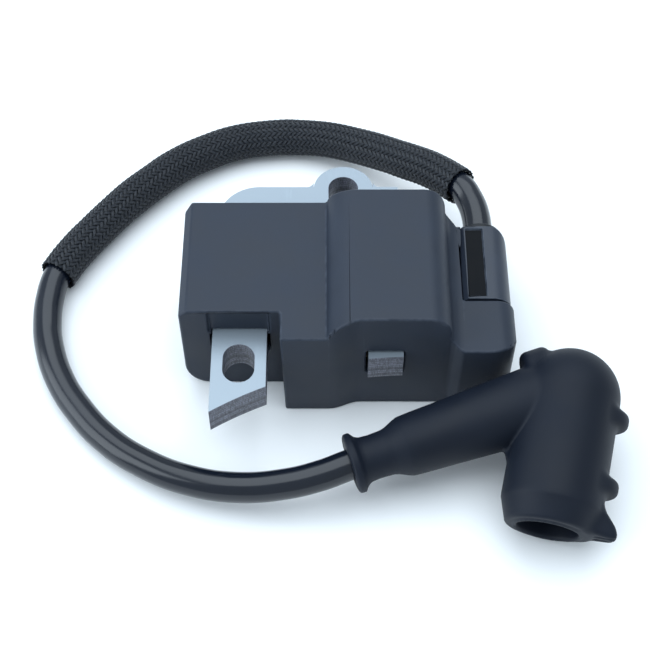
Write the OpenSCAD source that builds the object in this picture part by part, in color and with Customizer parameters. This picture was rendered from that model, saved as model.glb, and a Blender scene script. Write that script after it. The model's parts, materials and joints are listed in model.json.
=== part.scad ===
// Ignition coil of a small two-stroke engine: a potted coil housing on a laminated
// two-leg core, with a high-voltage lead, a braided sleeve and an elbow plug boot.
// The origin is the middle of the housing's underside. Millimetres, +Z up.
// The poles face the flywheel in -Y, and the lead leaves the housing in +Y.

/* [Housing] */
// Width of the housing, left side to right side
case_w = 55; // [46:0.5:67]
// Depth of the housing, front to back
case_d = 28; // [23:0.5:34]
// Height of the flat part of the housing
block_h = 21.5; // [20:0.5:26]
// How far the winding hump stands above the flat part
hump_rise = 3.5; // [2.5:0.1:5]
// How far the lead tower's top lies below the flat part
tower_drop = 3.6; // [2.5:0.1:4.5]
// Wall thickness of the housing
wall = 1.6; // [1.2:0.1:2.2]
// Width of the left block, which the left leg of the core passes through
left_w = 16.5; // [15.5:0.5:20]
// How far the left block's front stands back from the middle block's
left_setback = 5.4; // [4:0.2:7]
// Width of the lead tower on the right side
tower_w = 8; // [7.5:0.1:10]
// Radius of the housing's back right corner
back_corner_r = 3.8; // [3:0.1:6]
// Radius of the housing's front right corner
front_corner_r = 4.5; // [3:0.1:5]
// Chamfer along the top left edge
edge_chamfer = 1.3; // [0.6:0.1:2]

/* [Hump] */
// Flat width on top of the winding hump
hump_flat_w = 11; // [9:0.5:14]
// Run of the hump's left flank
hump_left_run = 5.3; // [4:0.1:6]
// Run of the hump's right flank
hump_right_run = 3.7; // [3.2:0.1:5]
// How far the hump's front stands back from the middle block's
hump_setback = 1.4; // [0.8:0.1:2]
// Radius at the foot of the hump's right flank
hump_foot_r = 2.2; // [1.6:0.1:2.6]

/* [Core] */
// Number of steel sheets in the core
sheet_count = 11; // [8:1:13]
// Thickness of one steel sheet
sheet_t = 0.48; // [0.4:0.01:0.6]
// Varnish line between two sheets
varnish_t = 0.04; // [0.02:0.01:0.06]
// Height of the core's underside above the housing's underside
core_z = 9.9; // [8:0.1:12]
// Width of the left leg
leg_w = 8.9; // [8:0.1:10]
// Distance from the housing's left side to the left leg
leg_inset = 5.3; // [3.5:0.1:6]
// Width of the centre leg
pole_w = 5.7; // [5:0.1:6.6]
// Depth of the yoke, behind the housing
yoke_w = 8; // [6.5:0.1:9]
// Radius of the flywheel's pole circle, air gap included
flywheel_r = 60; // [45:1:75]
// How far the centre leg's end stands back from the pole circle
pole_setback = 0.8; // [0:0.1:1.2]
// Width of the two mounting slots
slot_w = 5.2; // [4.2:0.1:5.6]
// Length of the two mounting slots, end to end
slot_l = 7.3; // [6.2:0.1:8]
// Outer radius of the lug round the back slot
lug_r = 5.2; // [4.8:0.1:6]

/* [Windings] */
// Length of the high-voltage transformer's bobbins
transformer_l = 20; // [17:0.5:22]
// Radius of the secondary bobbin's flanges
transformer_r = 9; // [8.6:0.1:9.2]
// Thickness of the bobbins' walls
bobbin_t = 0.7; // [0.5:0.1:0.9]
// Number of chambers on the secondary bobbin
chamber_count = 6; // [4:1:8]
// Length of the charge coil's bobbin
charge_l = 15; // [13:0.5:17]
// Wound depth of the charge coil
charge_depth = 1.6; // [1:0.1:1.7]

/* [Electronics] */
// Length of the circuit board
board_l = 21; // [18:0.5:22]
// Height of the circuit board
board_h = 15; // [12:0.5:16]
// Thickness of the circuit board
board_t = 1; // [0.8:0.1:1.2]

/* [Lead] */
// Outer diameter of the high-voltage lead
lead_d = 5; // [4.6:0.1:5.2]
// Diameter of the lead's conductor
conductor_d = 2; // [1.2:0.1:2.4]
// Outer diameter of the braided sleeve
sleeve_d = 7; // [6.9:0.1:7.2]
// Wall of the braided sleeve
sleeve_t = 0.5; // [0.4:0.05:0.6]
// Height of the lead's axis where it leaves the tower
lead_exit_z = 13; // [12.5:0.1:13.2]
// Length of the lead tower's cap, from the seam to its back end
cap_l = 15.2; // [13:0.1:16]

/* [Plug boot] */
// Outer radius of the boot's barrel
barrel_r = 8.05; // [7:0.05:8.6]
// Length of the barrel, from the elbow's centre to the mouth
barrel_l = 22.1; // [18:0.1:26]
// Radius of the socket that takes the spark plug's insulator
socket_r = 4.8; // [4.2:0.05:5.3]
// Depth of that socket, from the mouth
socket_depth = 15; // [12:0.5:16]
// Radius of the collar on the boot's neck
collar_r = 4.9; // [4.4:0.1:5.6]
// Outer radius of the boot's neck
neck_r = 3.7; // [3.5:0.05:4.2]
// Radius of the boot's arm where it meets the elbow
arm_r = 6.4; // [5.4:0.05:7.2]
// How far the finger fins stand out from the barrel
fin_h = 1.8; // [1:0.1:2.4]

/* [Hidden] */
$fn = 64;
e = 0.01; // overrun of cutters
fit = 0.05; // clearance round potted and fitted pieces
free = 0.3; // clearance round pieces that turn or slide

x_left = -case_w / 2;
x_right = case_w / 2;
y_front = -case_d / 2;
y_back = case_d / 2;
hump_h = block_h + hump_rise;
tower_h = block_h - tower_drop;
left_front_y = y_front + left_setback;
mid_x = x_left + left_w;
tower_x = x_right - tower_w;
hump_x1 = tower_x - 0.8 - hump_foot_r; // right face of the hump
flat_x1 = hump_x1 - hump_right_run;
flat_x0 = flat_x1 - hump_flat_w;
crease_x = flat_x0 - hump_left_run;
left_foot = [4, 5]; // rounding at the left block's foot, across and up
right_foot_r = 2;
tower_top_r = 3.2;
mid_lean = 0.5; // the middle block's left face leans in by this at the foot
opening_z = 0.4; // the potting stops this far above the underside

stack_h = sheet_count * sheet_t + (sheet_count - 1) * varnish_t;
stack_mid_z = core_z + stack_h / 2;
leg_x0 = x_left + leg_inset;
leg_mid_x = leg_x0 + leg_w / 2;
pole_mid_x = flat_x1 - 6.7;
yoke_y0 = y_back + 0.1;
yoke_y1 = yoke_y0 + yoke_w;
yoke_corner_r = 7;
slot_r = slot_w / 2;
leg_slot = [leg_mid_x, left_front_y - 6];
lug_x = pole_mid_x - 6.7;
lug_slot = [lug_x, yoke_y1 - 1.35];
lug_fillet_r = 1.2;
leg_tip_y = left_front_y - 12.5; // middle of the left pole face
leg_slope = 27.8; // slope of the left pole face
flywheel_x = leg_mid_x + flywheel_r * sin(leg_slope);
flywheel_y = leg_tip_y - flywheel_r * cos(leg_slope);
leg_window = 0.15;
pole_window = 0.35;

pole_bore = [pole_w + 0.4, stack_h + 0.4];
tube_r = norm(pole_bore) / 2 + 0.35;
primary_r = tube_r + 1.2;
former_r = primary_r + 0.15;
secondary_r = transformer_r - 0.6;
transformer_y0 = -transformer_l / 2 + 0.4;
chamber_pitch = (transformer_l - bobbin_t) / chamber_count;

charge_bore = [leg_w + 0.4, stack_h + 0.4];
charge_tube = [charge_bore[0] + 2 * bobbin_t, charge_bore[1] + 2 * bobbin_t];
charge_flange = [charge_tube[0] + 2 * charge_depth, charge_tube[1] + 2 * charge_depth + 2.4];
charge_y0 = left_front_y + wall + 0.6;
trigger_l = 3;

board_x = max(leg_mid_x + charge_flange[0] / 2 + 0.5, mid_x + mid_lean + wall + 2 * fit);
board_z0 = 3;
board_y0 = -board_l / 2 + 0.6;
parts_x = board_x + board_t + fit;

lead_r = lead_d / 2;
lead_bore_r = conductor_d / 2 + fit;
lead_x = x_right - 4.7;
seam_y = y_back - 2.4 - cap_l;
cap_y1 = y_back - 2.4;
cap_z0 = 6.5;
cap_x0 = tower_x - 0.5;
back_x1 = cap_x0 - 0.2; // right face of the wall behind the cap, clear of the seal
cap_step = 0.4; // the cap stands in from the tower's right side
cap_gap = 0.15;
channel_r = lead_r + free;
seal_r = lead_r + 0.9;
seal_flange_r = lead_r + 1.3;
seal_flange_t = 1.6;
seal_depth = 3.5;
exit_y = cap_y1 + seal_flange_t;

// Elbow boot: the arm's axis rises from the collar to the elbow, and the barrel's axis
// falls from the elbow to the mouth, so that the barrel lies on its shoulder.
collar_at = [0.2, -29.25, 8.5];
arm_turn = 17.5; // direction of the arm, from +X
arm_rise = 5.9;
arm_l = 37.7;
barrel_turn = 167; // direction of the barrel, turned from +Y
barrel_fall = 13;
elbow_past = 1.1; // the elbow's centre lies this far along the barrel's axis
mouth_r = 6.9;
shoulder_l = 3.6;
collar_t = 1.5;
neck_l = 6.2;
step_l = 2.3;
step_r = 4.65;
fin_r = 4.5;
fin_t = 2;
fin_at = [2.6, 13.8]; // places of the finger fins along the barrel
arm_fin_at = 3.4; // the arm's fin stands this far before the elbow
arm_fin_reach = 8.9;
arm_fin_t = 4.6;
tab_reach = 10.7;
lead_in_boot = 26;
spring_wire_r = 0.5;
spring_r = 3.6;
spring_turns = 3;
pocket_r = spring_r + spring_wire_r + free; // the spring's pocket, behind the socket
spike_l = 8;

// Route of the lead's free length, from the tower's exit to the boot's collar
LEAD_ROUTE = [
    [22.8, -2.6, 13], [22.8, 5, 13], [22.8, 13.2, 13], [22.6, 18, 13], [21.8, 21.3, 13],
    [20.3, 24.4, 13], [15.9, 29.6, 11.1], [10.2, 34.6, 8.6], [3.1, 39.8, 6], [-2.5, 42.8, 4.5],
    [-8, 44.2, 3.7], [-14, 44.2, 3.6], [-20.7, 43, 3.6], [-26.2, 40.6, 3.6], [-31.2, 37.5, 3.6],
    [-36.2, 33, 3.6], [-41, 27.8, 3.6], [-46.2, 20.8, 3.6], [-49.6, 15.6, 3.6],
    [-51.6, 11.6, 3.6], [-52.5, 7, 3.1], [-52.5, 2, 2.6], [-51.7, -2.6, 2.6], [-49.1, -9.6, 2.6],
    [-45.2, -15.7, 2.6], [-40, -21.4, 2.7], [-33.6, -26.1, 3.3], [-26, -29.8, 4.3],
    [-18, -31.7, 5.4], [-10, -31.8, 6.8], [-4.4, -30.8, 7.8], [0.2, -29.25, 8.5]
];
SLEEVE_FIRST = 5; // the sleeve covers the route from this point
SLEEVE_LAST = 19; // to this one

inner_nodes = ["circuit_board", "storage_capacitor", "thyristor", "rectifier_diodes",
    "bias_resistors", "earth_tag", "ht_link"];
sheet_nodes = [for (i = [1:sheet_count]) str("lamination_", i)];

// ---------- helpers ----------

// Points of an elliptical arc round [cx, cy], from angle a0 to a1
function arc(cx, cy, rx, ry, a0, a1, n = 10) =
    [for (i = [0:n]) let (a = a0 + (a1 - a0) * i / n) [cx + rx * cos(a), cy + ry * sin(a)]];

function unit(v) = v / norm(v);

// Place on the boot arm's axis, a distance s from the collar
function on_arm(s) = collar_at
    + s * [cos(arm_rise) * cos(arm_turn), cos(arm_rise) * sin(arm_turn), sin(arm_rise)];

// Place on the barrel's axis, a distance s from the elbow's centre
function on_barrel(s) = on_arm(arm_l) + (elbow_past + s)
    * [-cos(barrel_fall) * sin(barrel_turn), cos(barrel_fall) * cos(barrel_turn), -sin(barrel_fall)];

// Direction of a route at point i
function heading(path, i) =
    unit(path[min(i + 1, len(path) - 1)] - path[max(i - 1, 0)]);

// Two directions across a route that isn't vertical
function across(t) = unit(cross([0, 0, 1], t));
function ring(p, t, r, sides) =
    let (u = across(t), v = cross(t, u))
    [for (k = [0:sides - 1]) p + r * (cos(360 * k / sides) * u + sin(360 * k / sides) * v)];

function part_of(path, first, last) = [for (i = [first:last]) path[i]];

function band(first, next, sides) =
    [for (k = [0:sides - 1]) [first + k, first + (k + 1) % sides, next + (k + 1) % sides, next + k]];

function flat(lists) = [for (l = lists) for (x = l) x];

function reversed(face) = [for (i = [len(face) - 1:-1:0]) face[i]];

// A solid rod along a route
module rod(path, r, sides) {
    n = len(path);
    points = flat([for (i = [0:n - 1]) ring(path[i], heading(path, i), r, sides)]);
    walls = flat([for (i = [0:n - 2]) band(i * sides, (i + 1) * sides, sides)]);
    caps = [[for (k = [0:sides - 1]) sides - 1 - k], [for (k = [0:sides - 1]) (n - 1) * sides + k]];
    polyhedron(points, [for (f = concat(walls, caps)) reversed(f)]);
}

// A hollow tube along a route
module tube(path, r_out, r_in, sides) {
    n = len(path);
    outer = flat([for (i = [0:n - 1]) ring(path[i], heading(path, i), r_out, sides)]);
    inner = flat([for (i = [0:n - 1]) ring(path[i], heading(path, i), r_in, sides)]);
    m = n * sides;
    walls = flat([for (i = [0:n - 2]) band(i * sides, (i + 1) * sides, sides)]);
    bore = flat([for (i = [0:n - 2]) band(m + (i + 1) * sides, m + i * sides, sides)]);
    start = band(m, 0, sides);
    end = band((n - 1) * sides, m + (n - 1) * sides, sides);
    polyhedron(concat(outer, inner), [for (f = concat(walls, bore, start, end)) reversed(f)]);
}

// A plan outline raised into a prism
module prism(points, z0, z1) {
    translate([0, 0, z0])
        linear_extrude(z1 - z0)
            polygon(points);
}

// A front outline (X, Z) drawn back into a bar from y0 to y1
module bar(points, y0, y1) {
    translate([0, y1, 0])
        rotate([90, 0, 0])
            linear_extrude(y1 - y0)
                polygon(points);
}

// A box given by its lowest and highest corners
module span(low, high) {
    translate(low)
        cube(high - low);
}

// A cylinder along Y from y0 to y1
module rod_y(x, z, r, y0, y1) {
    translate([x, y0, z])
        rotate([-90, 0, 0])
            cylinder(r = r, h = y1 - y0);
}

// ---------- housing ----------

// Front outline of the left block, set in by t
function left_front(t) = concat(
    arc(x_left + left_foot[0], left_foot[1], left_foot[0] - t, left_foot[1] - t, 270, 180, 8),
    [[x_left + t, block_h - max(edge_chamfer, t)],
     [x_left + max(edge_chamfer, t), block_h - t],
     [mid_x + 3, block_h - t], [mid_x + 3, t]]);

// Front outline of the middle block, the hump and the tower, set in by t
function main_front(t) = concat(
    [[mid_x + mid_lean + t, t], [mid_x + t, block_h - t], [crease_x + t, block_h - t]],
    arc(flat_x0, block_h - t, flat_x0 - crease_x - t, hump_rise, 170, 90, 9),
    arc(flat_x1, hump_h - 4.5, hump_right_run - t, 4.5 - t, 90, 0, 8),
    arc(hump_x1 - t + hump_foot_r, tower_h - t + hump_foot_r, hump_foot_r, hump_foot_r, 180, 270, 5),
    arc(x_right - tower_top_r, tower_h - tower_top_r, tower_top_r - t, tower_top_r - t, 90, 0, 8),
    arc(x_right - right_foot_r, right_foot_r, max(right_foot_r - t, 0.2), max(right_foot_r - t, 0.2), 0, -90, 4));

// Plan outline of the left block, set in by t
function left_plan(t) = [
    [x_left + t, left_front_y + t], [mid_x + 3, left_front_y + t], [mid_x + 3, y_back - t],
    [x_left + 1.1 + t, y_back - t], [x_left + t, y_back - 1.1 - t]];

// Plan outline of the middle block, the hump and the tower, set in by t
function main_plan(t) = concat(
    [[mid_x + t, y_back - t], [mid_x + t, y_front + t], [crease_x + 0.4, y_front + t]],
    [for (i = [1:8]) [crease_x + 0.4 + (flat_x0 - crease_x) * i / 8,
        y_front + t + hump_setback * (1 - cos(180 * i / 8)) / 2]],
    [for (i = [0:4]) [hump_x1 + hump_foot_r * i / 4,
        y_front + t + hump_setback * (1 + cos(180 * i / 4)) / 2]],
    arc(x_right - front_corner_r, y_front + front_corner_r,
        front_corner_r - t, front_corner_r - t, 270, 360, 8),
    [[x_right - t, cap_y1 - t], [back_x1 - t, cap_y1 - t]],
    arc(back_x1 - back_corner_r, y_back - back_corner_r,
        back_corner_r - t, back_corner_r - t, 0, 90, 8));

// The housing's outer shape, set in by t
module shell_body(t) {
    intersection() {
        prism(left_plan(t), 0, block_h);
        bar(left_front(t), y_front, y_back);
    }
    intersection() {
        prism(main_plan(t), 0, hump_h);
        bar(main_front(t), y_front, y_back);
    }
}

// Space of the tower cap, grown by g
module cap_space(g) {
    span([cap_x0 - g, seam_y - g, cap_z0 - g], [x_right + 1, y_back, tower_h + 1]);
}

// Space inside the housing's walls, set in by t, and its opening on the underside
module cavity(t, floor_z) {
    difference() {
        shell_body(t);
        cap_space(t);
    }
    span([x_left + left_foot[0], left_front_y + t, floor_z], [mid_x + 2, y_back - t, 3]);
    span([mid_x + 1 + t, y_front + t + hump_setback, floor_z],
        [x_right - right_foot_r - t, y_back - back_corner_r - t, 3]);
    span([mid_x + 1 + t, 0, floor_z], [hump_x1 - back_corner_r, y_back - t, 3]);
}

module housing() {
    color([0.13, 0.16, 0.21])
        difference() {
            shell_body(0);
            cap_space(cap_gap);
            cavity(wall, -1);
            // windows for the core's legs, front and back
            core_legs(leg_window, pole_window);
            // shallow panel above the left leg
            span([leg_x0 - 0.6, left_front_y - 1, core_z + stack_h],
                [leg_x0 + leg_w + 0.4, left_front_y + 0.5, block_h - 0.5]);
            // passage of the high-voltage terminal
            rod_y(lead_x, lead_exit_z, 1.4, seam_y - wall - 1, seam_y + 1);
        }
}

// The cap that closes the lead tower: it clamps the lead's end
module tower_cap() {
    patch = [lead_x - 2.9, lead_x + 0.1];
    color([0.14, 0.17, 0.22])
        difference() {
            intersection() {
                prism(concat(
                    [[cap_x0, seam_y + cap_gap], [x_right - cap_step, seam_y + cap_gap]],
                    arc(x_right - cap_step - 2.6, cap_y1 - 2.6, 2.6, 2.6, 0, 90, 8),
                    [[cap_x0, cap_y1]]), cap_z0, tower_h);
                bar(concat(
                    [[cap_x0, cap_z0], [x_right - cap_step, cap_z0]],
                    arc(x_right - cap_step - tower_top_r, tower_h - tower_top_r,
                        tower_top_r, tower_top_r, 0, 90, 8),
                    [[cap_x0 + 0.8, tower_h], [cap_x0, tower_h - 0.8]]), seam_y, cap_y1);
            }
            // channel of the lead and seat of its seal
            rod_y(lead_x, lead_exit_z, channel_r, seam_y - 1, cap_y1 + 1);
            rod_y(lead_x, lead_exit_z, seal_r + fit, cap_y1 - seal_depth, cap_y1 + 1);
            // sunk patch on top
            span([patch[0], seam_y + 0.7, tower_h - 0.4], [patch[1], cap_y1 - 0.5, tower_h + 1]);
            // groove along the left edge
            span([cap_x0 + 1, seam_y + 0.9, tower_h - 0.35], [cap_x0 + 1.35, cap_y1 - 1, tower_h + 1]);
        }
}

module potting_resin() {
    color([0.1, 0.1, 0.11])
        difference() {
            cavity(wall + fit, opening_z);
            core_legs(leg_window, pole_window);
            transformer_space();
            charge_space();
            board_space();
            ht_space();
        }
}

// ---------- core ----------

// Plan outline of one sheet
module sheet_outline() {
    lug_y = lug_slot[1] + 0.75;
    pole_x1 = pole_mid_x + pole_w / 2;
    difference() {
        union() {
            translate([leg_x0, leg_tip_y - 8])
                square([leg_w, yoke_y0 + 3 - leg_tip_y + 8]);
            translate([pole_x1 - pole_w, y_front - 3])
                square([pole_w, yoke_y0 + 3 - y_front + 3]);
            translate([leg_x0 + yoke_corner_r, yoke_y0])
                square([pole_x1 - leg_x0 - yoke_corner_r, yoke_w]);
            // rounded left end of the yoke
            intersection() {
                translate([leg_x0 + yoke_corner_r, yoke_y1 - yoke_corner_r])
                    circle(r = yoke_corner_r);
                translate([leg_x0, yoke_y0])
                    square([yoke_corner_r + 1, yoke_w]);
            }
            translate([leg_x0, yoke_y0])
                square([yoke_corner_r, max(yoke_w - yoke_corner_r, 0.3)]);
            translate([lug_x, lug_y])
                circle(r = lug_r);
            translate([lug_x - lug_r, yoke_y0 + 1])
                square([2 * lug_r, lug_y - yoke_y0 - 1]);
            for (side = [-1, 1])
                lug_fillet(side);
        }
        slot_outline(leg_slot);
        slot_outline(lug_slot);
        // pole faces, on circles round the flywheel's axis
        translate([flywheel_x, flywheel_y])
            circle(r = flywheel_r);
        intersection() {
            translate([flywheel_x, flywheel_y])
                circle(r = flywheel_r + pole_setback);
            translate([mid_x, y_front - 20])
                square([40, 40]);
        }
    }
}

// Fillet at one side of the lug's foot
module lug_fillet(side) {
    r = lug_fillet_r;
    foot = [lug_x + side * lug_r, yoke_y1];
    centre = foot + [side * r, r];
    difference() {
        translate([min(foot[0], centre[0]), foot[1]])
            square([r, r]);
        translate(centre)
            circle(r = r);
    }
}

// A mounting slot along Y
module slot_outline(at) {
    half = slot_l / 2 - slot_r;
    for (end = [-1, 1])
        translate([at[0], at[1] + end * half])
            circle(r = slot_r);
    translate([at[0] - slot_r, at[1] - half])
        square([slot_w, 2 * half]);
}

// One steel sheet of the core, counted from the bottom
module lamination(i) {
    color([0.72, 0.75, 0.78])
        translate([0, 0, core_z + (i - 1) * (sheet_t + varnish_t)])
            linear_extrude(sheet_t)
                sheet_outline();
}

// The space of the two legs where they pass through the housing
module core_legs(g, gp) {
    span([leg_x0 - g, left_front_y - 1, core_z - g],
        [leg_x0 + leg_w + g, y_back + 1, core_z + stack_h + g]);
    span([pole_mid_x - pole_w / 2 - gp, y_front - 1, core_z - g],
        [pole_mid_x + pole_w / 2 + g, y_back + 1, core_z + stack_h + gp]);
}

// Insulating paper liner round the centre leg
module pole_liner() {
    liner = 0.12;
    color([0.75, 0.68, 0.5])
        difference() {
            span([pole_mid_x - pole_w / 2 - liner - fit, transformer_y0, core_z - liner - fit],
                [pole_mid_x + pole_w / 2 + liner + fit, transformer_y0 + transformer_l,
                 core_z + stack_h + liner + fit]);
            span([pole_mid_x - pole_w / 2 - fit, transformer_y0 - 1, core_z - fit],
                [pole_mid_x + pole_w / 2 + fit, transformer_y0 + transformer_l + 1,
                 core_z + stack_h + fit]);
        }
}

// ---------- windings ----------

// A round ring on the centre leg's axis
module pole_ring(r_out, r_in, y0, y1) {
    difference() {
        rod_y(pole_mid_x, stack_mid_z, r_out, y0, y1);
        rod_y(pole_mid_x, stack_mid_z, r_in, y0 - 1, y1 + 1);
    }
}

module transformer_space() {
    rod_y(pole_mid_x, stack_mid_z, transformer_r + fit, transformer_y0 - fit,
        transformer_y0 + transformer_l + fit);
}

module primary_bobbin() {
    y1 = transformer_y0 + transformer_l;
    color([0.85, 0.83, 0.75])
        difference() {
            union() {
                rod_y(pole_mid_x, stack_mid_z, tube_r, transformer_y0, y1);
                rod_y(pole_mid_x, stack_mid_z, primary_r, transformer_y0, transformer_y0 + bobbin_t);
                rod_y(pole_mid_x, stack_mid_z, primary_r, y1 - bobbin_t, y1);
            }
            span([pole_mid_x - pole_bore[0] / 2, transformer_y0 - 1, stack_mid_z - pole_bore[1] / 2],
                [pole_mid_x + pole_bore[0] / 2, y1 + 1, stack_mid_z + pole_bore[1] / 2]);
        }
}

module primary_winding() {
    color([0.72, 0.35, 0.16])
        pole_ring(primary_r - 0.1, tube_r + 0.02, transformer_y0 + bobbin_t + fit,
            transformer_y0 + transformer_l - bobbin_t - fit);
}

module secondary_bobbin() {
    y1 = transformer_y0 + transformer_l;
    color([0.15, 0.32, 0.2])
        difference() {
            union() {
                rod_y(pole_mid_x, stack_mid_z, former_r + bobbin_t, transformer_y0, y1);
                for (i = [0:chamber_count])
                    rod_y(pole_mid_x, stack_mid_z, transformer_r,
                        transformer_y0 + i * chamber_pitch, transformer_y0 + i * chamber_pitch + bobbin_t);
            }
            rod_y(pole_mid_x, stack_mid_z, former_r, transformer_y0 - 1, y1 + 1);
        }
}

// One bundle of fine wire in each chamber
module secondary_winding() {
    color([0.66, 0.27, 0.12])
        for (i = [0:chamber_count - 1])
            pole_ring(secondary_r, former_r + bobbin_t + 0.02,
                transformer_y0 + i * chamber_pitch + bobbin_t + fit,
                transformer_y0 + (i + 1) * chamber_pitch - fit);
}

// A box-shaped ring round the left leg
module leg_ring(outer, inner, y0, y1) {
    difference() {
        span([leg_mid_x - outer[0] / 2, y0, stack_mid_z - outer[1] / 2],
            [leg_mid_x + outer[0] / 2, y1, stack_mid_z + outer[1] / 2]);
        span([leg_mid_x - inner[0] / 2, y0 - 1, stack_mid_z - inner[1] / 2],
            [leg_mid_x + inner[0] / 2, y1 + 1, stack_mid_z + inner[1] / 2]);
    }
}

module charge_space() {
    g = [2 * fit, 2 * fit];
    leg_ring(charge_flange + g, [0.1, 0.1], charge_y0 - fit, charge_y0 + charge_l + fit);
}

module charge_bobbin() {
    flange_y = [charge_y0, charge_y0 + charge_l - trigger_l - 2 * bobbin_t,
        charge_y0 + charge_l - bobbin_t];
    color([0.8, 0.76, 0.65]) {
        leg_ring(charge_tube, charge_bore, charge_y0, charge_y0 + charge_l);
        for (y = flange_y)
            leg_ring(charge_flange, charge_bore, y, y + bobbin_t);
    }
}

module charge_winding() {
    y1 = charge_y0 + charge_l - trigger_l - 2 * bobbin_t;
    depth = 2 * charge_depth - 0.3;
    color([0.7, 0.32, 0.14])
        leg_ring([charge_tube[0] + depth, charge_tube[1] + depth + 2],
            [charge_tube[0] + 0.04, charge_tube[1] + 0.04], charge_y0 + bobbin_t + fit, y1 - fit);
}

module trigger_winding() {
    y0 = charge_y0 + charge_l - trigger_l - bobbin_t;
    depth = charge_depth;
    color([0.55, 0.2, 0.1])
        leg_ring([charge_tube[0] + depth, charge_tube[1] + depth],
            [charge_tube[0] + 0.04, charge_tube[1] + 0.04], y0 + fit, y0 + trigger_l - fit);
}

// ---------- electronics ----------

capacitor_size = [3.6, 10, 8];
capacitor_at = [parts_x, board_y0 + 1, board_z0 + 6];
thyristor_r = 1.9;
thyristor_h = 4.6;
thyristor_at = [parts_x, board_y0 + board_l - 4, board_z0 + 6];
diode_r = 1;
diode_l = 4;
resistor_size = [0.6, 2, 1.2];

module circuit_board() {
    color([0.1, 0.4, 0.2])
        span([board_x, board_y0, board_z0], [board_x + board_t, board_y0 + board_l, board_z0 + board_h]);
}

module storage_capacitor() {
    color([0.75, 0.45, 0.1])
        translate(capacitor_at)
            cube(capacitor_size);
}

// A small transistor-shaped case with a flat back against the board
module thyristor() {
    color([0.08, 0.08, 0.08])
        intersection() {
            translate(thyristor_at + [thyristor_r * 0.6, 0, 0])
                cylinder(r = thyristor_r, h = thyristor_h);
            translate(thyristor_at - [0, thyristor_r, 1])
                cube([2 * thyristor_r, 2 * thyristor_r, thyristor_h + 2]);
        }
}

module rectifier_diodes() {
    color([0.12, 0.12, 0.12])
        for (i = [0, 1])
            rod_y(parts_x + diode_r + 0.05, board_z0 + 1.6 + i * 2.4, diode_r,
                board_y0 + 3, board_y0 + 3 + diode_l);
}

module bias_resistors() {
    color([0.2, 0.2, 0.22])
        for (i = [0:2])
            translate([parts_x, board_y0 + 10 + i * 3, board_z0 + 1.6])
                cube(resistor_size);
}

// Strip that earths the board on the core's left leg
module earth_tag() {
    y0 = charge_y0 + charge_l + 0.6;
    color([0.8, 0.7, 0.4])
        span([leg_x0 + leg_w + leg_window - 0.1, y0, core_z + 1.5],
            [board_x - fit, y0 + 1.6, core_z + 1.9]);
}

module board_space() {
    g = [fit, fit, fit];
    span([board_x, board_y0, board_z0] - g,
        [board_x + board_t, board_y0 + board_l, board_z0 + board_h] + g);
    span(capacitor_at - g, capacitor_at + capacitor_size + g);
    translate(thyristor_at - [0, thyristor_r + fit, fit])
        cube([2 * thyristor_r + fit, 2 * thyristor_r + 2 * fit, thyristor_h + 2 * fit]);
    for (i = [0, 1])
        rod_y(parts_x + diode_r + 0.05, board_z0 + 1.6 + i * 2.4, diode_r + fit,
            board_y0 + 3 - fit, board_y0 + 3 + diode_l + fit);
    for (i = [0:2])
        translate([parts_x, board_y0 + 10 + i * 3, board_z0 + 1.6] - g)
            cube(resistor_size + 2 * g);
    y0 = charge_y0 + charge_l + 0.6;
    span([leg_x0 + leg_w, y0 - fit, core_z + 1.5 - fit], [board_x, y0 + 1.6 + fit, core_z + 1.9 + fit]);
}

// ---------- high-voltage end ----------

link_y = seam_y - wall - 3;
link_x0 = pole_mid_x + transformer_r + 0.3;

// Stiff wire from the secondary winding to the terminal
module ht_link() {
    color([0.75, 0.6, 0.35])
        translate([link_x0, link_y, lead_exit_z])
            rotate([0, 90, 0])
                cylinder(r = 0.4, h = lead_x - 1.2 - link_x0);
}

// Terminal with a pointed end that pierces the lead's conductor
module ht_terminal() {
    color([0.8, 0.72, 0.45]) {
        rod_y(lead_x, lead_exit_z, 1.2, link_y - 1, seam_y + 0.4);
        rod_y(lead_x, lead_exit_z, 0.6, seam_y + 0.3, seam_y + 1);
    }
}

module ht_space() {
    rod_y(lead_x, lead_exit_z, 1.2 + fit, link_y - 1 - fit, seam_y + 1);
    translate([link_x0 - fit, link_y, lead_exit_z])
        rotate([0, 90, 0])
            cylinder(r = 0.4 + fit, h = lead_x - link_x0);
}

// Rubber seal that grips the lead where it leaves the cap
module lead_seal() {
    color([0.05, 0.05, 0.06])
        difference() {
            union() {
                rod_y(lead_x, lead_exit_z, seal_r, cap_y1 - seal_depth + fit, cap_y1 + 0.2);
                rod_y(lead_x, lead_exit_z, seal_flange_r, cap_y1 + fit, exit_y);
            }
            rod_y(lead_x, lead_exit_z, lead_r + fit, cap_y1 - seal_depth - 1, exit_y + 1);
        }
}

// The lead runs on from the collar into the boot, and the spike enters its conductor
lead_path = concat(LEAD_ROUTE, [on_arm(8), on_arm(lead_in_boot)]);
conductor_path = concat(LEAD_ROUTE, [on_arm(8), on_arm(lead_in_boot - spike_l + 1)]);

module lead_insulation() {
    color([0.06, 0.07, 0.09])
        tube(lead_path, lead_r, lead_bore_r, 10);
}

module lead_conductor() {
    color([0.75, 0.45, 0.25])
        rod(conductor_path, conductor_d / 2, 10);
}

module braided_sleeve() {
    color([0.16, 0.18, 0.22])
        tube(part_of(LEAD_ROUTE, SLEEVE_FIRST, SLEEVE_LAST), sleeve_d / 2, sleeve_d / 2 - sleeve_t, 12);
}

// ---------- plug boot ----------

// Places its children with +Z along the arm, from the collar to the elbow
module along_arm() {
    translate(collar_at)
        rotate([0, 90 - arm_rise, arm_turn])
            children();
}

// Places its children with +Z along the barrel, from the elbow's centre to the mouth
module along_barrel() {
    translate(on_barrel(0))
        rotate([-90 - barrel_fall, 0, barrel_turn])
            children();
}

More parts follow.
